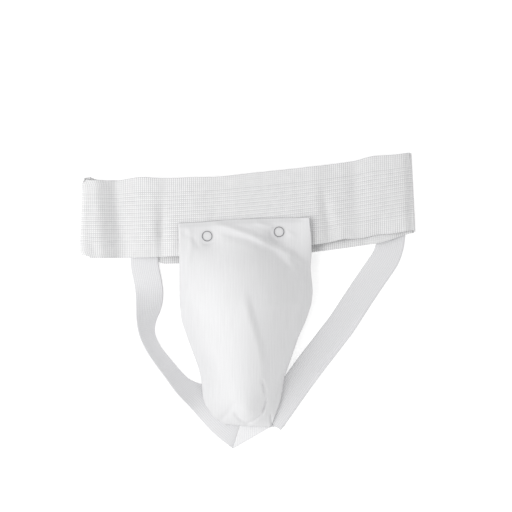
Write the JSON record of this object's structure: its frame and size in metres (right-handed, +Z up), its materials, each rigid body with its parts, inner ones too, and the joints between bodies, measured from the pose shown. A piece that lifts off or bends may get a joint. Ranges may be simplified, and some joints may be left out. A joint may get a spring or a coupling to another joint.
{
  "type": "groin protector",
  "caption": "Groin protector laid flat: wide elastic waistband, fabric pouch holding a rigid cup, press-studded top flap and elastic leg straps.",
  "frame": {"origin": "middle of the footprint, on the surface that the guard lies on", "axes": "+Z up from the surface, out of the guard's front; +Y towards the waist; +X along the waistband, to the right as seen from the front"},
  "size_m": [0.2984, 0.2674, 0.0614],
  "materials": {
    "waistband_elastic": "woven elastic, ribbed edges",
    "strap_elastic": "woven elastic, fine ribs",
    "pouch_fabric": "smooth poly-cotton cloth",
    "liner_fabric": "soft cotton cloth",
    "binding_tape": "folded cotton tape",
    "sewing_thread": "twisted polyester thread",
    "cup_plastic": "moulded polypropylene",
    "rim_rubber": "soft moulded edge",
    "snap_steel": "nickel plated wire"
  },
  "bodies": {
    "guard": {"waistband": "waistband_elastic", "waistband_lap_stitch": "sewing_thread", "leg_strap_left": "strap_elastic", "leg_strap_right": "strap_elastic", "strap_tack_left": "sewing_thread", "strap_tack_right": "sewing_thread", "tail_gusset": "strap_elastic", "tail_tack": "sewing_thread", "pouch_back_panel": "liner_fabric", "pouch_front_panel": "pouch_fabric", "side_binding_left": "binding_tape", "side_binding_right": "binding_tape", "bottom_binding": "binding_tape", "centre_seam": "sewing_thread", "pouch_band_stitch": "sewing_thread", "snap_stud_left": "snap_steel", "snap_stud_right": "snap_steel", "snap_backing_left": "snap_steel", "snap_backing_right": "snap_steel"},
    "flap": {"pouch_flap": "pouch_fabric", "flap_hem": "pouch_fabric", "snap_ring_left": "snap_steel", "snap_ring_right": "snap_steel", "snap_socket_left": "snap_steel", "snap_socket_right": "snap_steel"},
    "cup": {"cup_shell": "cup_plastic", "cup_rim_pad": "rim_rubber"}
  },
  "joints": [
    {"name": "cup_slide", "type": "slide", "parent": "guard", "child": "cup", "axis": [0, 0.9982, 0.0593], "range_m": [0, 0.04]},
    {"name": "flap_hinge", "type": "hinge", "parent": "guard", "child": "flap", "pos_m": [0, 0.008, 0.057], "axis": [1, 0, 0], "range_deg": [0, 69], "deforming": ["pouch_front_panel", "centre_seam"]}
  ],
  "couplings": [
    {"joint": "flap_hinge", "follows": "cup_slide", "rad_per_m": 30}
  ]
}
